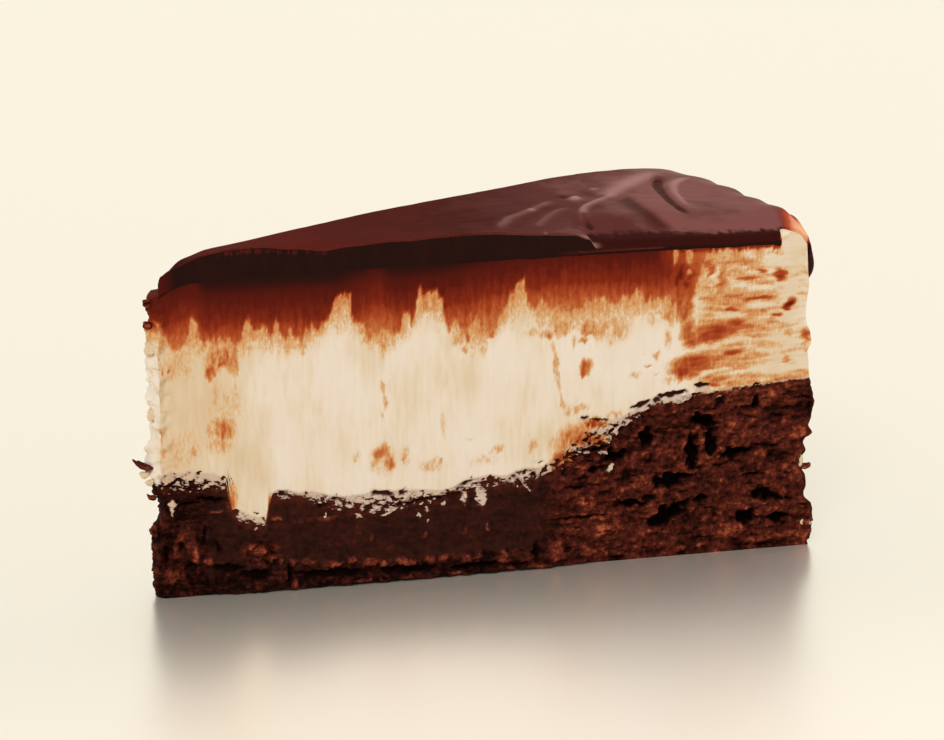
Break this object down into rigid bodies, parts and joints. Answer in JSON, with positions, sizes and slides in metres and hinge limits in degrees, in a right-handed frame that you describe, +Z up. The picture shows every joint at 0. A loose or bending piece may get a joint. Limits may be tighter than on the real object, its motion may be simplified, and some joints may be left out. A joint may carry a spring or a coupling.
{
  "type": "cloud cake slice",
  "caption": "Wedge slice of chocolate cloud cake: fallen dark chocolate base, deep cream filling and a spread ganache top, cut clean on both sides.",
  "frame": {"origin": "middle of the slice's box, on the surface that it stands on", "axes": "+X from the point of the slice to its rim along the shown cut face, +Y away from the shown cut face, +Z up"},
  "size_m": [0.1326, 0.0516, 0.0693],
  "materials": {
    "brownie": "moist dark chocolate crumb, matte with small wet glints",
    "cream": "smooth dense cream, satin, with brown smears left by the knife",
    "ganache": "satin set chocolate ganache with soft spatula marks"
  },
  "bodies": {
    "root": {"brownie_base": "brownie", "cream_filling": "cream", "ganache_topping": "ganache"}
  },
  "joints": []
}
